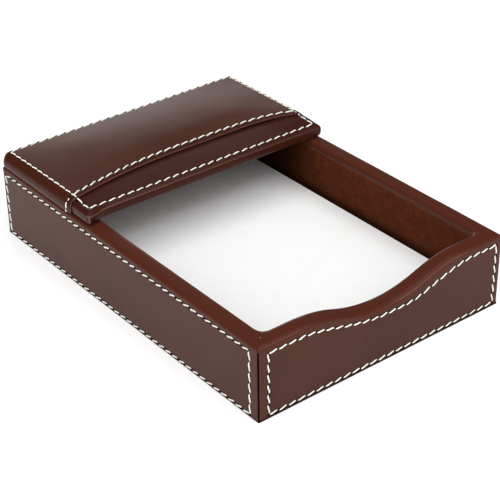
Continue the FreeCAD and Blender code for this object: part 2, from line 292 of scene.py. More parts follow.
def makeSuede():
    look = suedeLook
    material, tree, place = newMaterial("sueded_microfibre")
    strokes = noiseOf(tree, place, look["strokeMm"], 5.0, Roughness=0.65)
    nap = noiseOf(tree, place, look["napMm"], 3.0)
    colour = mixColour(tree, remap(tree, strokes, 0.25, 0.8), linear(look["nap"]),
                       linear(look["stroked"]))
    for factor, name in ((remap(tree, nap, 0.3, 0.7, 0.0, 0.75), "stroked"),
                         (readMark(tree, "paleEdgeAndHighlight"), "edge"), (readMark(tree, "seam"), "shadedNap")):
        colour = mixColour(tree, factor, colour, linear(look[name]))
    sheen = {"Sheen Weight": 0.15, "Sheen Roughness": 0.5, "Sheen Tint": linear(look["sheen"])}
    finishMaterial(tree, colour, remap(tree, nap, 0.0, 1.0, 0.85, 1.0), nap,
                   reliefMm=0.12, strength=0.5, specular=0.1, **sheen)
    return material


# Bonded polyester thread, waxed: cream, with painted shade where it goes down into a hole
threadLook = {"cream": "#fffdf5", "shade": "#ddd2bf", "fibreMm": 0.9}


def makeThread():
    look = threadLook
    material, tree, place = newMaterial("waxed_polyester_thread")
    fibre = noiseOf(tree, place, look["fibreMm"], 2.0)
    colour = mixColour(tree, remap(tree, fibre, 0.3, 0.8, 0.0, 0.5), linear(look["cream"]),
                       linear(look["shade"]))
    colour = mixColour(tree, readMark(tree, "sunk"), colour, linear(look["shade"]))
    finishMaterial(tree, colour, remap(tree, fibre, 0.0, 1.0, 0.5, 0.7), fibre,
                   reliefMm=0.05, strength=0.4, specular=0.3)
    return material


# Uncoated offset paper, 90 g: bright white with a faint cloudiness from its fibres
paperLook = {"white": "#fafafa", "cloud": "#f4f5f4", "cloudMm": 6.0}


def makePaper():
    look = paperLook
    material, tree, place = newMaterial("uncoated_paper")
    cloud = noiseOf(tree, place, look["cloudMm"], 4.0)
    colour = mixColour(tree, cloud, linear(look["white"]), linear(look["cloud"]))
    finishMaterial(tree, colour, remap(tree, cloud, 0.0, 1.0, 0.75, 0.9), cloud,
                   reliefMm=0.02, strength=0.3, specular=0.25)
    return material


# Pressed wood fibreboard, grey card and needled felt: the parts under the leather
plainLooks = {
    "fibreboard": {"base": "#6b4f35", "fleck": "#8d6e4c", "grainMm": 1.2, "reliefMm": 0.08},
    "grey_card": {"base": "#77706a", "fleck": "#928a82", "grainMm": 0.9, "reliefMm": 0.04},
    "needled_felt": {"base": "#241a17", "fleck": "#3a2c27", "grainMm": 0.7, "reliefMm": 0.2}}


def makePlain(name):
    look = plainLooks[name]
    material, tree, place = newMaterial(name)
    fleck = noiseOf(tree, place, look["grainMm"], 6.0, Roughness=0.7)
    colour = mixColour(tree, remap(tree, fleck, 0.35, 0.7), linear(look["base"]),
                       linear(look["fleck"]))
    finishMaterial(tree, colour, remap(tree, fleck, 0.0, 1.0, 0.8, 0.95), fleck,
                   reliefMm=look["reliefMm"], strength=0.5, specular=0.2)
    return material


leather, suede, thread, paper = makeLeather(), makeSuede(), makeThread(), makePaper()
fibreboard, greyCard, felt = [makePlain(name) for name in plainLooks]
print("materials made")


def place(piece, material, slot, *nodes, body="holder"):
    piece.data.materials.clear()
    piece.data.materials.append(material)
    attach(piece, body)
    if nodes:
        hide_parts(*nodes)


# Walls. Each is made as the front wall, with X along it, its outer face on Y = 0 and the
# tray behind it, and is then turned and moved to its side
wallLook = {"stitchMm": 4.33,  # hole to hole
            "topDrop": 3.4,  # upper stitch line below the rim
            "setback": 0.35,  # the leather stops this far short of the mitre
            "grooveDepth": 0.34, "grooveHalf": 0.4, "grooveReach": 0.75, "holeDepth": 0.34,
            "shoulder": 0.06, "threadDepth": 0.38,  # the thread's share of the groove's depth
            "leatherMm": 1.15, "skived": 0.66, "unevenMm": 0.05,
            "roll": 0.32, "bunch": 1.1,  # ends turned in, and folded up in the inner corner
            "scoopHalf": 41.0, "scoopDepth": 7.3}
topLine = rim - wallLook["topDrop"]
halfWidth, middleY = edges("right_wall_cover")[1].x, (boxLow.y + boxHigh.y) / 2
halfLength = (boxHigh.y - boxLow.y) / 2
# lowLine: height of the lower stitch line; insets: its upright ones from the left and right
# corner, seen from outside. Sewn by hand, they differ a little from wall to wall. creases:
# middle, half length and strength of a pale line along the outer edge of the rim, partly
# pulled-up leather and partly a painted highlight
walls = {"front": {"half": halfWidth, "turn": 0, "at": (0, boxLow.y), "lowLine": 1.95,
                   "insets": (4.6, 3.2), "scooped": True,
                   "creases": [(-50, 12, 0.35), (22, 24, 0.7)]},
         "right": {"half": halfLength, "turn": 90, "at": (halfWidth, middleY), "lowLine": 1.4,
                   "insets": (3.1, 3.5)},
         "rear": {"half": halfWidth, "turn": 180, "at": (0, boxHigh.y), "lowLine": 1.5,
                  "insets": (3.3, 2.9)},
         "left": {"half": halfLength, "turn": -90, "at": (-halfWidth, middleY), "lowLine": 1.3,
                  "insets": (2.65, 5.0)}}

# Outline of the leather round a wall, as depth and height: turned under the base board, up the
# face, over the rim and down inside to the lining
underTurn = [(7.0, 0.2), (2.2, 0.16), (0.9, 0.07), (0.35, 0.03), (0.06, 0.05), (0.0, 0.22)]
overRim = [(0.0, -2.6), (0.0, -1.95), (0.06, -1.35), (0.26, -0.82), (0.62, -0.4), (1.1, -0.13),
           (1.8, -0.01), (3.2, 0.04), (4.6, 0.07), (5.7, 0.07), (6.45, -0.02), (6.95, -0.3),
           (7.2, -0.85), (7.25, -1.7), (7.2, -2.85)]


def evenSteps(start, end, pitch):  # evenly spread, from the start to the end
    count = round((end - start) / pitch)
    return [start + (end - start) * step / count for step in range(count + 1)]


def withMiddles(holes):
    middles = [(first + second) / 2 for first, second in zip(holes, holes[1:])]
    return sorted(holes + middles)


def scoopDrop(wall, x):  # how far the rim lies below the level rim
    reach, depth = wallLook["scoopHalf"], wallLook["scoopDepth"]
    radius = (reach ** 2 + depth ** 2) / (4 * depth)
    across = abs(x)
    if across >= reach or not wall.get("scooped"):
        return 0.0
    if across > reach / 2:
        return radius - math.sqrt(radius ** 2 - (reach - across) ** 2)
    return depth - radius + math.sqrt(radius ** 2 - across ** 2)


def rowSag(wall, x):  # how much lower the sewn row runs under the scoop than the rim does
    if not wall.get("scooped"):
        return 0.0
    return 0.35 + 0.6 * ramp(abs(x + 26.0), 14.0, 2.0) + 1.7 * ramp(abs(x - 22.0), 22.0, 3.0)


def turnToSide(piece, wall):
    takeUp(piece)
    piece.rotation_euler.z = math.radians(wall["turn"])
    piece.location = (wall["at"][0] * mm, wall["at"][1] * mm, 0)
    bpy.ops.object.transform_apply(location=True, rotation=True, scale=True)


def lineGap(across, z, reach, low):  # how far a point of the face is from the stitch lines
    across, up = across - reach, max(low - z, z - topLine)
    if across > 0 and up > 0:
        return math.hypot(across, up)
    return abs(max(across, up))


def grooveDark(gap, look):  # 1 in a stitched groove, 0 where its sides end
    side = look["grooveHalf"]
    return 1.0 - max(0.0, gap - side) / (look["grooveReach"] - side)


def makeWallLeather(name, wall):
    look, half = wallLook, wall["half"]
    end, low, side = half - look["setback"], wall["lowLine"], look["grooveHalf"]
    start, stop = wall["insets"][0] - half, half - wall["insets"][1]
    middle, reach = (start + stop) / 2, (stop - start) / 2
    holes = evenSteps(start, stop, look["stitchMm"])
    upHoles = evenSteps(low, topLine, look["stitchMm"])
    beside = [-look["grooveReach"], -side, side, look["grooveReach"]]
    endGaps = [0.1, 0.28, 0.6, 1.2, 2.2]
    columns = withMiddles(holes) + [column + gap for column in (start, stop) for gap in beside]
    columns += [way * (end - gap) for gap in endGaps for way in (-1, 1)]
    rows = [low + gap for gap in beside if low + gap > 0.45]
    rows += [topLine + gap for gap in beside if topLine + gap < rim - 2.65]
    rows = [(0.0, z) for z in sorted(rows + withMiddles(upHoles))]
    profile = underTurn + rows + [(depth, rim + up) for depth, up in overRim]

    (farDepth, z), (nearDepth, _) = profile[:2]
    piece = newPiece(name + "WallLeather", "plane", Vector((-end, nearDepth, z)),
                     Vector((end, farDepth, z)))
    cutAcross("X", columns)
    for depth in (farDepth, nearDepth):  # the mitre
        pick("VERT", lambda at: abs(at.y - depth) < near)
        bpy.ops.transform.resize(value=((end - depth) / end, 1, 1), center_override=(0, 0, 0))
    for (depth, z), (nextDepth, nextZ) in zip(profile[1:], profile[2:]):
        drawOut(y=nextDepth - depth, z=nextZ - z)
        bpy.ops.transform.resize(value=((end - nextDepth) / (end - depth), 1, 1),
                                 center_override=(0, 0, 0))

    def onFace(at):
        return at.y < 0.02 and 0.6 < at.z < rim - 2.5

    def onLine(at, reachBy=0.0):  # on the stitched rectangle, or on one drawn round it
        across = abs(at.x - middle) - reach
        inX, inZ = across < 0.1, low - 0.1 < at.z < topLine + 0.1
        onEnds = abs(across - reachBy) < near and inZ
        onRuns = min(abs(at.z - low + reachBy), abs(at.z - topLine - reachBy)) < near and inX
        return onFace(at) and (onEnds or onRuns)

    def onHole(at):
        return onLine(at) and (nearAny(at.x, holes) or nearAny(abs(at.x - middle), [reach])) \
            and (nearAny(at.z, upHoles) or nearAny(at.z, [low, topLine]))
    push(onHole, y=look["holeDepth"])
    push(lambda at: at.y < look["holeDepth"] + near and (onLine(at) or onLine(
        Vector((at.x, 0, at.z)))), y=look["grooveDepth"])
    push(lambda at: onLine(at, side) or onLine(at, -side), y=look["shoulder"])
    faceOutwards(piece, Vector((0, 0, 15)), Vector((0, -1, 0)))

    def rollEnds(x, y, z, normal):  # the end of the leather is turned in at the mitre
        gap = max(0.0, end - max(y, 0.0) - abs(x))
        # over the rim, inside and at the foot the two ends meet
        level = max(ramp(y, 0.5, 1.5), ramp(-z, -1.1, -0.3), ramp(z, rim - 2.4, rim - 1.4))
        roll = normal * -look["roll"] * (1 - min(1.0, gap / 0.45)) ** 2 * (1 - 0.85 * level)
        closing = (look["setback"] - 0.01) * level * max(0.0, 1 - gap / 1.5)
        bunch = look["bunch"] * ramp(y, 4.5, 6.5) * (1 - min(1.0, gap / 3.5)) ** 2 \
            if z > 5 else 0.0
        return roll + Vector((math.copysign(1, x) * (closing - bunch), bunch, 0))
    nudge(piece, rollEnds)
    if wall.get("scooped"):
        nudge(piece, lambda x, y, z, normal: (0, 0, -rowSag(wall, x) * ramp(
            z, 8.0, topLine - 0.8) * ramp(z, rim - 0.8, topLine + 0.8) if y < 1.0 else 0.0))
        nudge(piece, lambda x, y, z, normal: (0, 0, -scoopDrop(wall, x) * (
            1.0 if y > 1.0 else ramp(z, 3.0, topLine - 0.6))) if z > 1.0 else (0, 0, 0))
    seed = wall["turn"] / 7.0
    nudge(piece, lambda x, y, z, normal: normal * look["unevenMm"] * waver(x, y, z, 14.0, seed))

    group = piece.vertex_groups.new(name="fullThickness")
    for vertex in piece.data.vertices:
        onShow = vertex.co.y / mm < 1.0
        group.add([vertex.index], 1.0 if onShow else look["skived"], "REPLACE")
    thicken(piece, look["leatherMm"], 50, vertex_group="fullThickness", use_even_offset=True)

    def height(x, y, z):  # height in the unscooped wall
        drop, sag = scoopDrop(wall, x), rowSag(wall, x)
        level = z + drop * ramp(z + drop * 0.5, 3.0, topLine - 0.6)
        return level + sag * ramp(z + drop + sag, topLine - 3.0, topLine - 1.2)

    def crease(x):
        return sum(strength * ramp(abs(x - spot), length, length / 2)
                   for spot, length, strength in wall.get("creases", ()))

    def slit(x, y, z):  # painted shade in the open ends at the upright corners, lighter on the closed mitre on the rim
        reached = abs(x) + max(y, 0.0)
        if y > 1.2 or z > rim - 1.9:
            return 0.4 * ramp(reached, half - 0.2, half)
        return ramp(reached, end - 0.28, end)
    # redder rim and margins round the stitching; the faces between keep the painted grey sheen
    mark(piece, "margin", lambda x, y, z: 1.0 if y > 0.5 else max(
        0.5 * ramp(abs(x - middle), reach - 0.2, reach + 0.6),
        ramp(z + scoopDrop(wall, x), rim - 2.2, rim - 0.8),
        0.5 * ramp(z + scoopDrop(wall, x) + rowSag(wall, x), topLine - 0.2, topLine + 0.6)))
    # pale line along the rim's outer edge, partly pulled-up leather and partly painted highlight,
    # and a painted highlight on the front cover's end at its left corner
    mark(piece, "paleEdgeAndHighlight", lambda x, y, z: max(
        crease(x) * (1.0 - abs(z + scoopDrop(wall, x) - rim + 0.8) / 0.2),
        0.3 * (1 - abs(x + end - 0.42) / 0.14) * ramp(z, 0.5, 2.0) if name == "front" else 0.0)
         if y < 1.5 else 0.0)
    # painted shade in the stitch grooves, in a band along the bottom edge, and in the slits and
    # mitres at the corners
    mark(piece, "seam", lambda x, y, z: max(
        0.0 if y > 0.75 else grooveDark(lineGap(
            abs(x - middle), z if z < low + 1.5 else height(x, y, z), reach, low), look),
        0.7 * ramp(-z, -low + 0.4, -low + 0.8), slit(x, y, z)))
    turnToSide(piece, wall)
    place(piece, leather, "leather", name + "_wall_cover")
    return holes, upHoles


# One stitch, lying along X on the leather, its ends down in the holes. The leather is Z = 0
# hook is how far its ends bend back to the row. Rows along Y have the values that start with side
stitchLook = {"length": 3.9, "width": 0.66, "height": 0.56, "sides": 6, "hook": 0.24,
              "slant": 16.0, "sideSlant": 11.0, "sideLength": 0.93, "slantVaries": 3.0,
              "lengthVaries": (0.96, 1.03), "widthVaries": (0.94, 1.06), "depthVaries": 0.03}


def makeOneStitch():
    look = stitchLook
    sections = [(-0.5, 0.35, -0.4), (-0.475, 0.66, -0.16), (-0.41, 0.9, 0.04), (-0.22, 1.05, 0.13),
                (0.0, 0.96, 0.14), (0.22, 1.05, 0.13), (0.41, 0.9, 0.04), (0.475, 0.66, -0.16),
                (0.5, 0.35, -0.4)]  # along its length, thickness, height of its middle in mm
    clearSelection()
    bpy.ops.mesh.primitive_circle_add(
        vertices=look["sides"], radius=look["width"] / 2 * mm, fill_type="NGON",
        rotation=(0, math.radians(90), 0))
    piece = bpy.context.object
    piece.name = "oneStitch"
    bpy.ops.object.transform_apply(location=True, rotation=True, scale=True)
    bpy.ops.object.mode_set(mode="EDIT")
    bpy.ops.mesh.select_all(action="SELECT")
    flat = look["height"] / look["width"]
    along, thick, up = sections[0]
    bpy.ops.transform.resize(value=(1, thick, thick * flat), center_override=(0, 0, 0))
    bpy.ops.transform.translate(value=(along * look["length"] * mm, 0, up * mm))
    for (nextAlong, nextThick, nextUp) in sections[1:]:
        drawOut(x=(nextAlong - along) * look["length"], z=nextUp - up)
        bpy.ops.transform.resize(value=(1, nextThick / thick, nextThick / thick),
                                 center_override=(0, 0, nextUp * mm))
        along, thick, up = nextAlong, nextThick, nextUp
    faceOutwards(piece, upward, upward)
    nudge(piece, lambda x, y, z, normal: (
        0, -math.copysign(look["hook"] * ramp(abs(x), 1.0, 2.0), x), 0))
    # painted shade on the ends that go down into the holes
    mark(piece, "sunk", lambda x, y, z: 0.45 * ramp(abs(x), 1.65, 2.0))
    smooth(piece, 180)
    return piece


oneStitch = makeOneStitch()


def sewRow(name, seams, seed):  # seams: start, end and outward normal of each stitch, in mm
    look, draft, chance = stitchLook, bmesh.new(), random.Random(seed)
    for start, end, normal in seams:
        along, normal = (end - start), normal.normalized()
        length = along.length
        sideways = abs(along.y) > abs(along.x) + abs(along.z)
        slant = look["sideSlant" if sideways else "slant"]
        slant = math.radians(slant + chance.uniform(-look["slantVaries"], look["slantVaries"]))
        along = Matrix.Rotation(slant, 3, normal) @ (along - normal * along.dot(normal))
        along.normalize()
        tilt = (end - start).dot(normal) / length
        along = (along + normal * tilt).normalized()
        across = normal.cross(along).normalized()
        outward = along.cross(across)
        stretch = length / wallLook["stitchMm"] * chance.uniform(*look["lengthVaries"]) \
            * (look["sideLength"] if sideways else 1)
        turned = Matrix((along * stretch, across * chance.uniform(*look["widthVaries"]), outward))
        turned = turned.transposed().to_4x4()
        sunk = chance.uniform(-look["depthVaries"], look["depthVaries"])
        turned.translation = ((start + end) / 2 + normal * sunk) * mm
        addCopy(draft, oneStitch, turned)
    return finishDraft(draft, name)


def run(points, normal):  # stitches from point to point
    return [(first, second, normal) for first, second in zip(points, points[1:])]


def sewWall(name, wall, holes, upHoles):
    depth, low = wallLook["grooveDepth"] * wallLook["threadDepth"], wall["lowLine"]

    def spot(x, z):
        drop = (scoopDrop(wall, x) + rowSag(wall, x)) * ramp(z, low, topLine)
        return Vector((x, depth, z - drop))
    outward = Vector((0, -1, 0))
    seams = [seam for z in (low, topLine) for seam in run([spot(x, z) for x in holes], outward)]
    for x in (holes[0], holes[-1]):
        seams += run([spot(x, z) for z in upHoles], outward)
    piece = sewRow(name + "WallThread", seams, wall["turn"] + 200)
    turnToSide(piece, wall)
    place(piece, thread, "leather")


for wallName, wall in walls.items():
    sewWall(wallName, wall, *makeWallLeather(wallName, wall))
print("walls covered and sewn")


# Suede: cloth on card, on the inside of each wall, on the floor and under the lid
suedeEdge = {"round": 0.35, "cellMm": 3.0, "unevenMm": 0.07, "ragged": 0.16, "pale": 0.45,
             "foot": 11.2}  # painted shade below this height, by the sheets, and under the lid


def spread(low, high, cell):  # inner cuts of a run, about a cell apart
    return evenSteps(low, high, cell)[1:-1]


def roundAllEdges(width, segments=2):
    pick("EDGE", lambda at: True)
    bpy.ops.mesh.bevel(offset=width * mm, segments=segments, affect="EDGES", profile=0.5,
                       clamp_overlap=True)


def makeWallSuede(name, wall):
    low, high = edges("front_wall_lining")
    inner, far = low.y - boxLow.y, high.y - boxLow.y
    half = wall["half"] - inner - 0.05
    bottom, level = low.z, edges("right_wall_lining")[1].z
    piece = newPiece(name + "WallSuede", "cube", Vector((-half, inner, bottom)),
                     Vector((half, far, level)))
    pick("VERT", lambda at: at.y > far - near)
    bpy.ops.transform.resize(value=((half - far + inner) / half, 1, 1),
                             center_override=(0, 0, 0))
    roundAllEdges(suedeEdge["round"])
    cutAcross("X", spread(-half + 2, half - 2, suedeEdge["cellMm"]))
    cutAcross("Z", spread(bottom, level, suedeEdge["cellMm"]))
    takeUp(piece)
    chance = random.Random(len(name))
    seed = chance.uniform(0, 50)
    nudge(piece, lambda x, y, z, normal: (
        0, suedeEdge["unevenMm"] * waver(x, y, z, 9.0, seed) if y > far - 0.3 else 0,
        suedeEdge["ragged"] * waver(x, 0, 0, 5.0, seed + 5) if z > level - 0.5 else 0))
    if wall.get("scooped"):
        nudge(piece, lambda x, y, z, normal: (
            0, 0, -scoopDrop(wall, x) * (z - bottom) / (level - bottom)))
    smooth(piece)
    mark(piece, "paleEdgeAndHighlight", lambda x, y, z: suedeEdge["pale"] * ramp(
        z + scoopDrop(wall, x), level - 0.3, level - 0.08))
    foot = suedeEdge["foot"]
    towardsRear = {"front": 0, "right": 1, "rear": 0, "left": -1}[name]
    # painted shade: the whole rear lining, the foot of each lining and the rear part of the side
    # linings, deep under the lid
    mark(piece, "seam", lambda x, y, z: 0.8 if name == "rear" else max(
        0.85 * ramp(-z, -foot, 1.6 - foot), 0.8 * ramp(towardsRear * x, 14.0, 42.0)))
    turnToSide(piece, wall)
    place(piece, suede, "suede", name + "_wall_lining")


for wallName, wall in walls.items():
    makeWallSuede(wallName, wall)


def makeFlatPanel(name, node, material, slot, cell=4.0, rounding=0.3, uneven=0.06):
    low, high = edges(node)
    piece = newPiece(name, "cube", low, high)
    roundAllEdges(rounding)
    cutAcross("X", spread(low.x, high.x, cell))
    cutAcross("Y", spread(low.y, high.y, cell))
    takeUp(piece)
    nudge(piece, lambda x, y, z, normal: (
        0, 0, -abs(uneven * waver(x, y, z, 11.0, low.z)) * (1 if z > (low.z + high.z) / 2
                                                            else -1)))
    smooth(piece)
    place(piece, material, slot, node)


makeFlatPanel("floorSuede", "floor_lining", suede, "suede")
makeFlatPanel("lidUndersideSuede", "lid_lining", suede, "suede", rounding=0.25)
makeFlatPanel("baseFelt", "base_pad", felt, "felt")
print("linings laid")


# Lid: a front strip and an upper panel of leather over a board. Both are a flat top that
# is cut into columns and rows, with its outline drawn out over the edge and turned under
lidLook = {"inset": 4.0,  # border stitching from the lid's outer edges
           "frontInset": 2.55,  # and from its front edge
           "seamInset": 2.75,  # seam stitching behind the panel's front edge
           "seamMiddle": 41.0, "seamReach": 58.0,  # where the seam stitching turns level
           "seamFall": {"left": (7.0, 2.2), "right": (6.0, 5.0)},  # how far and how late
           "grooveDepth": 0.25, "grooveHalf": 0.4, "grooveReach": 0.75, "holeDepth": 0.18,
           "shoulder": 0.05, "threadDepth": 0.45,  # the thread's share of the groove's depth
           "shadeSides": 0.5, "shadeSeam": 0.6, "shadeStrip": 0.7,  # painted shade
           "paleFoot": 0.35, "paleSeam": 0.3, "paleStrip": 0.4,  # painted highlights along edges
           "rearCorner": 5.0, "frontCorner": 2.0, "leatherMm": 0.5,
           "bulge": {"left": 1.7, "right": 0.5},  # front corners, thick with folded leather
           "crown": 1.15, "rearFall": 0.65}  # the panel is domed and sinks to the rear
seamEnds = panelLow.y
borderX = panelHigh.x - lidLook["inset"]
borderFront, borderRear = stripLow.y + lidLook["frontInset"], panelHigh.y - lidLook["inset"]
seamLine = seamEnds + lidLook["seamInset"]
borderXHoles = evenSteps(-borderX, borderX, wallLook["stitchMm"])
borderYHoles = evenSteps(borderFront, borderRear, wallLook["stitchMm"])
besideLine = [-lidLook["grooveReach"], -lidLook["grooveHalf"], lidLook["grooveHalf"]]
# Outline over an edge: inwards from the outer face, and up or down
panelEdge = [(3.3, 0.0), (2.7, -0.32), (2.1, -0.82), (1.45, -1.55), (1.0, -2.3), (0.68, -3.0),
             (0.45, -3.7), (0.32, -4.3), (0.28, -4.8), (0.28, -5.85), (0.36, -6.2), (0.6, -6.5),
             (1.1, -6.8), (1.9, -7.05), (9.0, -7.2)]
stripEdge = [(2.0, 0.0), (1.4, -0.22), (0.85, -0.58), (0.42, -1.0), (0.15, -1.4), (0.02, -1.9),
             (0.0, -2.6), (0.0, -3.7), (0.1, -4.4), (0.4, -5.05), (0.95, -5.5), (1.8, -5.85),
             (8.2, -6.0)]


def seamShift(x, y):  # the panel's front edge bows back between its ends
    fall, late = lidLook["seamFall"]["left" if x < 0 else "right"]
    part = min(1.0, abs(x) / lidLook["seamReach"])
    bow = lidLook["seamMiddle"] - fall * part ** late - seamLine
    return bow * (1 - ramp(y, seamLine + 2.0, seamLine + 22.0))


def crownLift(x, y):  # the leather is domed over the padding and sinks towards the rear
    along = (y - seamEnds) / (panelHigh.y - seamEnds)
    dome = lidLook["crown"] * (1 - (x / panelHigh.x) ** 2) * max(0.0, 1 - (2 * along - 1) ** 2)
    fall = lidLook["rearFall"] - 0.25 * max(0.0, x / panelHigh.x)
    return dome - fall * max(0.0, along) + 0.25 * ramp(x, 15.0, 55.0)


def makeLidLeather(name, outline, corner, cornerGaps, halfX, openY, closedY, top, rowCuts):
    # openY is where the sheet ends on its open side, closedY the face on the other side
    start, way = outline[0][0], 1 if closedY > openY else -1
    flatEnd, flatX = closedY - way * start, halfX - start
    low, high = sorted((openY, flatEnd))
    piece = newPiece(name, "plane", Vector((-flatX, low, top)), Vector((flatX, high, top)))
    columns = [side * (borderX + gap) for side in (-1, 1) for gap in besideLine]
    columns += [side * (flatX - gap) for side in (-1, 1) for gap in cornerGaps]
    cutAcross("X", withMiddles(borderXHoles) + columns)
    cutAcross("Y", rowCuts + [flatEnd - way * gap for gap in cornerGaps])
    draft = bmesh.from_edit_mesh(piece.data)
    bpy.ops.mesh.select_mode(type="EDGE")
    bpy.ops.mesh.select_all(action="DESELECT")
    for edge in draft.edges:
        onOpen = all(abs(vertex.co.y / mm - openY) < near for vertex in edge.verts)
        if edge.is_boundary and not onOpen:
            edge.select_set(True)
    bmesh.update_edit_mesh(piece.data)
    for (inward, up), (nextIn, nextUp) in zip(outline, outline[1:]):
        drawOut(z=nextUp - up)
        depth, nextDepth = abs(closedY - openY) - inward, abs(closedY - openY) - nextIn
        bpy.ops.transform.resize(
            value=((halfX - nextIn) / (halfX - inward), nextDepth / depth, 1),
            center_override=(0, openY * mm, 0))
    faceOutwards(piece, Vector((0, (low + high) / 2, top)), upward)

    def roundCorner(x, y, z, normal):  # wider the further the leather has come down
        fromSide, fromEnd = halfX - abs(x), way * (closedY - y)
        inward = min(fromSide, fromEnd)
        radius = 0.3 + (corner - 0.3) * max(0.0, 1 - inward / start)
        along = fromEnd - fromSide
        if inward > start + near or abs(along) > radius:
            return (0, 0, 0)
        angle = math.radians(45 + 45 * along / radius)
        newSide, newEnd = [inward + radius * (1 - part) for part in (
            math.sin(angle), math.cos(angle))]
        return ((fromSide - newSide) * (1 if x > 0 else -1), way * (fromEnd - newEnd), 0)
    nudge(piece, roundCorner)
    return piece


def makePanel():
    look, side = lidLook, lidLook["grooveHalf"]
    holesY = [y for y in borderYHoles if y > seamLine + 1.5]
    rows = [y for y in withMiddles(borderYHoles) if y > seamLine + 1.2]
    rows += [seamLine + gap for gap in besideLine + [0, look["grooveReach"]]]
    rows += [borderRear + gap for gap in besideLine]
    piece = makeLidLeather("lidPanelLeather", panelEdge, look["rearCorner"], [1.9, 2.7, 3.7, 4.9],
                           panelHigh.x, seamEnds + 1.2, panelHigh.y, panelHigh.z, rows)
    takeUp(piece, "EDIT")
    top = panelHigh.z

    def flat(at):
        return at.z > top - 0.01

    def onBorder(at, by=0.0):
        inX, inY = abs(at.x) < borderX + 0.1, at.y < borderRear + 0.1
        return flat(at) and (abs(abs(at.x) - borderX - by) < near and inY
                             or abs(at.y - borderRear - by) < near and inX)

    def onSeam(at, by=0.0):
        return at.z > panelLow.z + 0.5 and abs(at.y - seamLine - by) < near
    push(lambda at: onSeam(at, side) or onSeam(at, -side) or onBorder(at, -side)
         or onBorder(at, side), z=-look["shoulder"])
    push(lambda at: at.z > top - 0.06 and (
        onSeam(at) and nearAny(at.x, borderXHoles)
        or abs(at.y - borderRear) < near and nearAny(at.x, borderXHoles)
        or abs(abs(at.x) - borderX) < near and nearAny(at.y, holesY)), z=-look["holeDepth"])
    push(lambda at: at.z > top - 0.3 and abs(at.x) < panelHigh.x - 3.0 and (
        onBorder(Vector((at.x, at.y, top))) or abs(at.y - seamLine) < near),
         z=-look["grooveDepth"])
    # the front edge: the leather is folded back, so its edge is rolled
    roll = [(-0.35, 0.03), (-0.35, 0.1), (-0.28, 0.24), (-0.16, 0.34), (0.0, 0.34), (0.22, 0.24)]
    pick("EDGE", lambda at: abs(at.y - seamEnds - 1.2) < near)
    for forward, inward in roll:
        drawOut(y=forward)
        bpy.ops.transform.resize(
            value=(1 - inward / panelHigh.x, 1, 1 - inward / (panelHigh.z - panelLow.z)),
            center_override=(0, 0, panelLow.z * mm))
    faceOutwards(piece, Vector((0, 60, panelHigh.z)), upward)
    nudge(piece, lambda x, y, z, normal: (
        0, seamShift(x, y), crownLift(x, y) * (z - panelLow.z) / (top - panelLow.z)
        + 0.07 * waver(x, y, z, 16.0, 3.0)))
    thicken(piece, look["leatherMm"], 60)

    def fromEdge(x, y):
        return min(panelHigh.x - abs(x), panelHigh.y - y)

    def behindSeam(x, y):
        return y - seamEnds - seamShift(x, seamEnds)

    def groove(x, y):
        border = min(abs(abs(x) - borderX), abs(y - borderRear)) \
            if abs(x) < borderX + 0.6 and y < borderRear + 0.6 else 9.0
        return grooveDark(min(border, abs(behindSeam(x, y) - look["seamInset"])), look)
    mark(piece, "margin", lambda x, y, z: max(
        1 - ramp(fromEdge(x, y), look["inset"] - 0.7, look["inset"] + 0.1),
        0.7 * (1 - ramp(behindSeam(x, y), look["seamInset"] - 0.3, look["seamInset"] + 0.5))))
    # painted shade on the rolled sides and on the band in front of the seam stitching
    mark(piece, "shade", lambda x, y, z: max(
        look["shadeSides"] * (1 - ramp(
            fromEdge(x, y), look["inset"] - 0.9, look["inset"] - 0.3)),
        look["shadeSeam"] * (1 - ramp(
            behindSeam(x, y), look["seamInset"] - 0.9, look["seamInset"] - 0.3))))

    def paleEdgeAndHighlight(x, y, z):  # painted highlights on its lower edge and rolled front edge
        if z < panelLow.z + 1.4 and fromEdge(x, y) < 0.8:
            return look["paleFoot"] * (1 - abs(z - panelLow.z - 1.05) / 0.25)
        if z > panelHigh.z - 1.6 or fromEdge(x, y) < 2.5 and z > panelLow.z + 1.0:
            strength = look["paleSeam"] - 0.18 * x / panelHigh.x
            return strength * (1 - abs(behindSeam(x, y) - 0.32) / 0.24)
        return 0.0
    mark(piece, "paleEdgeAndHighlight", paleEdgeAndHighlight)
    # painted shade in the stitch grooves, under the rolled front edge and along the bottom turn
    mark(piece, "seam", lambda x, y, z: max(
        groove(x, y) if z > panelLow.z + 0.6 else 0.0,
        ramp(-z, -panelHigh.z + 1.0, -panelHigh.z + 1.5) if behindSeam(x, y) < 0.5
        and abs(x) < panelHigh.x - 1.5 else 0.0,
        0.9 * ramp(-z, -panelLow.z - 0.55, -panelLow.z - 0.15)))
    place(piece, leather, "leather", "lid_top_cover")


def stripLift(x, y):  # the strip lies on the board, dips to its front edge and rises at the right
    return 0.5 * ramp(x, 40.0, 56.0) * ramp(y, stripLow.y + 2.0, stripLow.y + 9.0) \
        - 0.2 * (1 - ramp(y, stripLow.y + 1.0, stripLow.y + 14.0))


def bulge(x, y):  # how far forward a front corner stands
    return lidLook["bulge"]["left" if x < 0 else "right"] * ramp(abs(x), 49.0, 59.0) * (
        1 - ramp(y, stripLow.y + 0.5, stripLow.y + 5.0))


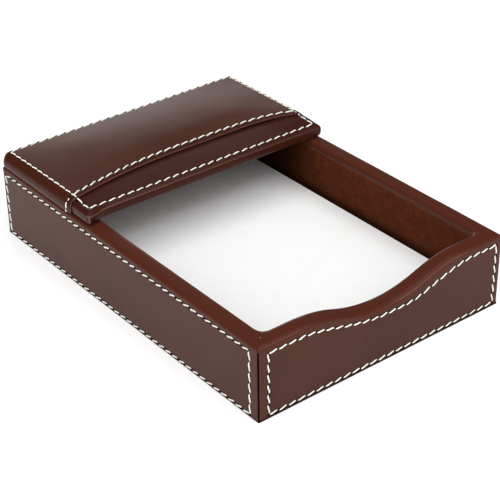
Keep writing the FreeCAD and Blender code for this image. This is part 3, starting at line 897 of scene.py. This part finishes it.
def makeStrip():
    look, side = lidLook, lidLook["grooveHalf"]
    rows = [y for y in withMiddles(borderYHoles) if borderFront - 1 < y < stripHigh.y - 0.5]
    rows += [borderFront - gap for gap in besideLine]
    piece = makeLidLeather("lidStripLeather", stripEdge, look["frontCorner"], [0.35],
                           stripHigh.x, stripHigh.y, stripLow.y, stripHigh.z, rows)
    takeUp(piece, "EDIT")
    top = stripHigh.z

    def onBorder(at, by=0.0):
        inX, inY = abs(at.x) < borderX + 0.1, at.y > borderFront - 0.1
        return at.z > top - 0.3 and (abs(abs(at.x) - borderX - by) < near and inY
                                     or abs(at.y - borderFront + by) < near and inX)
    push(lambda at: onBorder(at, -side) or onBorder(at, side), z=-look["shoulder"])
    push(lambda at: onBorder(at) and (
        abs(at.y - borderFront) < near and nearAny(at.x, borderXHoles)
        or abs(abs(at.x) - borderX) < near and nearAny(at.y, borderYHoles)),
         z=-look["holeDepth"])
    push(onBorder, z=-look["grooveDepth"])
    faceOutwards(piece, Vector((0, 30, top)), upward)
    nudge(piece, lambda x, y, z, normal: (
        0.35 * ramp(-x, 58.0, 60.0), -bulge(x, y),
        stripLift(x, y) * ramp(z, stripLow.z, top) + 0.05 * waver(x, y, z, 16.0, 9.0)))
    thicken(piece, look["leatherMm"], 60)

    def fromFront(x, y):
        return y - stripLow.y + bulge(x, stripLow.y)

    def paleEdgeAndHighlight(x, y, z):  # painted highlights: top and bottom of the front edge, the top one bent down at the left corner, where a tab shows
        if fromFront(x, y) > 2.0:
            return 0.0
        height = top - 1.4 - 0.35 * ramp(-x, 52.0, 59.5)
        tab = abs(fromFront(x, y) + abs(x) - stripHigh.x + 0.35) / 0.8 if x < -57.5 else 1.0
        return max((look["paleStrip"] - 0.3 * x / stripHigh.x) * (1 - abs(z - height) / 0.26),
                   look["paleStrip"] * (1 - abs(z - stripLow.z - 0.95) / 0.22),
                   0.7 * (1 - tab) if stripLow.z + 1.2 < z < height else 0.0)

    def groove(x, y):
        inside = abs(x) < borderX + 0.6 and y > borderFront - 0.6
        gap = min(abs(abs(x) - borderX), abs(y - borderFront)) if inside else 9.0
        return grooveDark(gap, look)
    mark(piece, "margin", lambda x, y, z: 1.0)
    # painted shade over the strip, deepest on the front face by the left corner
    mark(piece, "shade", lambda x, y, z: look["shadeStrip"] if z > top - 1.4 else 0.6 + 0.4 * ramp(
        -x, 54.5, 57.5) * (1 - ramp(fromFront(x, y), 0.0, 0.8)))
    mark(piece, "paleEdgeAndHighlight", paleEdgeAndHighlight)
    # painted shade in the grooves and along the bottom, and a painted shadow just in front of and
    # under the panel's front edge
    mark(piece, "seam", lambda x, y, z: max(
        groove(x, y) if z > top - 0.9 else 0.0,
        ramp(y - seamEnds - seamShift(x, seamEnds), -0.6, 0.1) if abs(x) < stripHigh.x - 0.2
        else 0.0,
        0.9 * ramp(-z, -stripLow.z - 1.1, -stripLow.z - 0.3)))
    place(piece, leather, "leather", "lid_front_cover")


makePanel()
makeStrip()

# The board in the lid, its rear corners sawn round and its edges broken for the leather
boardLook = {"sideGap": 0.5, "rearGap": 1.1, "cornerRound": 3.5, "edgeRound": 0.7}


def makeLidBoard():
    look = boardLook
    low, high = edges("lid_board")
    low += Vector((look["sideGap"], 0, 0))
    high -= Vector((look["sideGap"], look["rearGap"], 0))
    piece = newPiece("lidBoard", "cube", low, high)
    for side in (-1, 1):
        pick("EDGE", lambda at: at.y > high.y - near and at.x * side > high.x - near)
        bpy.ops.mesh.bevel(offset=look["cornerRound"] * mm, segments=5, affect="EDGES")
    for level in (low.z, high.z):
        pick("EDGE", lambda at: abs(at.z - level) < near)
        bpy.ops.mesh.bevel(offset=look["edgeRound"] * mm, segments=2, affect="EDGES")
    takeUp(piece)
    smooth(piece)
    place(piece, fibreboard, "board", "lid_board")


makeLidBoard()


def sewLid():
    depth = lidLook["grooveDepth"] * lidLook["threadDepth"]

    def spot(x, y):
        if y > seamEnds + seamShift(x, seamEnds):
            return Vector((x, y, panelHigh.z + crownLift(x, y) - depth))
        return Vector((x, y, stripHigh.z + stripLift(x, y) - depth))

    seams = run([spot(x, borderFront) for x in borderXHoles], upward)
    seams += run([spot(x, borderRear) for x in borderXHoles], upward)
    for x in (-borderX, borderX):
        seams += run([spot(x, y) for y in borderYHoles], upward)
    place(sewRow("lidBorderThread", seams, 31), thread, "leather")

    seams = run([spot(x, seamLine + seamShift(x, seamLine)) for x in borderXHoles], upward)
    for way in (-1, 1):  # over the edge and down the side
        outer, y = way * (panelHigh.x - 0.3), seamLine + seamShift(way * borderX, seamLine)
        top = panelHigh.z - 0.1
        seams += [(Vector((way * borderX, y, top)), Vector((outer - way * 0.8, y, top - 1.9)),
                   Vector((way * 0.6, 0, 1))),
                  (Vector((outer - way * 0.65, y, top - 2.1)),
                   Vector((outer + way * 0.02, y, top - 5.2)), Vector((way, 0, 0.15))),
                  (Vector((outer, y, top - 5.3)), Vector((outer - way * 0.15, y, panelLow.z + 0.6)),
                   Vector((way, 0, 0)))]
    place(sewRow("lidSeamThread", seams, 32), thread, "leather")


sewLid()
print("lid covered and sewn")


# Memo sheets: a loose pile, each sheet a hair out of line with the next
sheetLook = {"thickMm": 0.1, "slipMm": 0.18, "turnDegrees": 0.06, "cell": 12.0}


def makeSheets():
    look = sheetLook
    low, high = edges("memo_sheets")
    one = newPiece("oneSheet", "cube", low, Vector((high.x, high.y, low.z + look["thickMm"])))
    cutAcross("X", spread(low.x, high.x, look["cell"]))
    cutAcross("Y", spread(low.y, high.y, look["cell"]))
    takeUp(one)
    middle = (low + high) / 2 * mm
    count = round((high.z - low.z) / look["thickMm"])
    draft, chance = bmesh.new(), random.Random(46)
    for number in range(count):
        up = number * (high.z - low.z) / count
        slip = [chance.uniform(-1, 1) * look["slipMm"] * mm for _ in range(2)]
        turn = math.radians(chance.uniform(-1, 1) * look["turnDegrees"])
        if number == count - 1:
            slip, turn = [0.0, 0.0], 0.0
        addCopy(draft, one, Matrix.Translation(
            (middle.x + slip[0], middle.y + slip[1], up * mm)) @ Matrix.Rotation(turn, 4, "Z")
            @ Matrix.Translation((-middle.x, -middle.y, 0)))
    bpy.data.objects.remove(one)
    place(finishDraft(draft, "memoPile"), paper, "paper", "memo_sheets", body="memo_stack")


makeSheets()
bpy.data.objects.remove(oneStitch)

# CAD nodes that keep their shape: boards and the levelling card under the leather
for nodeName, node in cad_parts.items():
    finish = fibreboard if nodeName.endswith("board") else greyCard \
        if nodeName == "lid_padding" else None
    if finish and nodeName != "lid_board":
        node.data.materials.clear()
        node.data.materials.append(finish)
print("hidden boards finished")

# Table top, light and camera
studio = {"floor": "#f6f6f6", "floorCloud": "#f2f2f2", "grainMm": 40.0, "sizeM": 6.0,
          "glow": 0.29, "world": 0.12}


def makeFloor():
    clearSelection()
    bpy.ops.mesh.primitive_plane_add(size=studio["sizeM"], location=(0, 0, 0))
    piece = bpy.context.object
    piece.name = "tableTop"
    material, tree, where = newMaterial("matt_white_laminate")
    grain = noiseOf(tree, where, studio["grainMm"], 2.0)
    colour = mixColour(tree, grain, linear(studio["floor"]), linear(studio["floorCloud"]))
    glow = {"Emission Color": linear("#ffffff"), "Emission Strength": studio["glow"]}
    finishMaterial(tree, colour, 0.8, grain, reliefMm=0.01, strength=0.1, specular=0.1, **glow)
    piece.data.materials.append(material)


# Softboxes, all turned to the holder: azimuth 0 stands behind it and 90 to its right, width
# and height in metres, brightness as white paper in full light has 1
softboxes = {
    "overhead": {"azimuth": 180, "elevation": 80, "distance": 1.3, "width": 1.6, "height": 1.6,
                 "brightness": 1.76},
    "left": {"azimuth": -100, "elevation": 30, "distance": 1.2, "width": 1.6, "height": 1.2,
             "brightness": 1.45},
    "front": {"azimuth": 165, "elevation": 35, "distance": 1.2, "width": 1.4, "height": 1.1,
              "brightness": 1.42},
    "rear": {"azimuth": 22, "elevation": 12, "distance": 1.3, "width": 0.9, "height": 0.5,
             "brightness": 2.35}}


def direction(place):  # from the holder, with azimuth 0 behind it
    turn, rise = math.radians(place["azimuth"]), math.radians(place["elevation"])
    return Vector((math.sin(turn) * math.cos(rise), math.cos(turn) * math.cos(rise),
                   math.sin(rise)))


def addSoftbox(name, box):
    away = direction(box)
    lamp = bpy.data.lights.new(name, "AREA")
    lamp.shape, lamp.size, lamp.size_y = "RECTANGLE", box["width"], box["height"]
    lamp.energy = box["brightness"] * math.pi * box["width"] * box["height"]
    holder = bpy.data.objects.new(name, lamp)
    holder.location = Vector((0, 0, 0.02)) + away * box["distance"]
    holder.rotation_euler = (-away).to_track_quat("-Z", "Y").to_euler()
    bpy.context.scene.collection.objects.link(holder)


makeFloor()
world = bpy.data.worlds.new("studio")
bpy.context.scene.world = world
world.use_nodes = True
backdrop = world.node_tree.nodes["Background"]
backdrop.inputs["Color"].default_value = (1, 1, 1, 1)
seen = addNode(world.node_tree, "ShaderNodeLightPath").outputs["Is Camera Ray"]
whiteToCamera = remap(world.node_tree, seen, 0.0, 1.0, studio["world"], 1.0)
world.node_tree.links.new(whiteToCamera, backdrop.inputs["Strength"])
for boxName, box in softboxes.items():
    addSoftbox(boxName + "Softbox", box)

# The photo's view. Azimuth 0 looks at the front wall, distance and target are in mm
view = {"azimuth": -39.03, "elevation": 31.32, "roll": -0.22, "distance": 591.2,
        "target": (3.81, -16.13, 16.08), "lens": 106.14, "shiftX": -0.0485, "shiftY": -0.0102}


def addCamera():
    back = direction(view) * Vector((1, -1, 1))
    right = (-back).cross(upward).normalized()
    up = right.cross(-back)
    tilt = math.radians(view["roll"])
    right, up = (right * math.cos(tilt) + up * math.sin(tilt),
                 up * math.cos(tilt) - right * math.sin(tilt))
    data = bpy.data.cameras.new("camera")
    data.lens, data.sensor_width = view["lens"], 36.0
    data.shift_x, data.shift_y = view["shiftX"], view["shiftY"]
    data.clip_start, data.clip_end = 0.01, 20.0
    camera = bpy.data.objects.new("camera", data)
    bpy.context.scene.collection.objects.link(camera)
    spot = (Vector(view["target"]) + back * view["distance"]) * mm
    camera.matrix_world = Matrix((right, up, back)).transposed().to_4x4()
    camera.location = spot
    bpy.context.scene.camera = camera


addCamera()
bpy.context.scene.view_settings.view_transform = "Standard"
print("studio set")
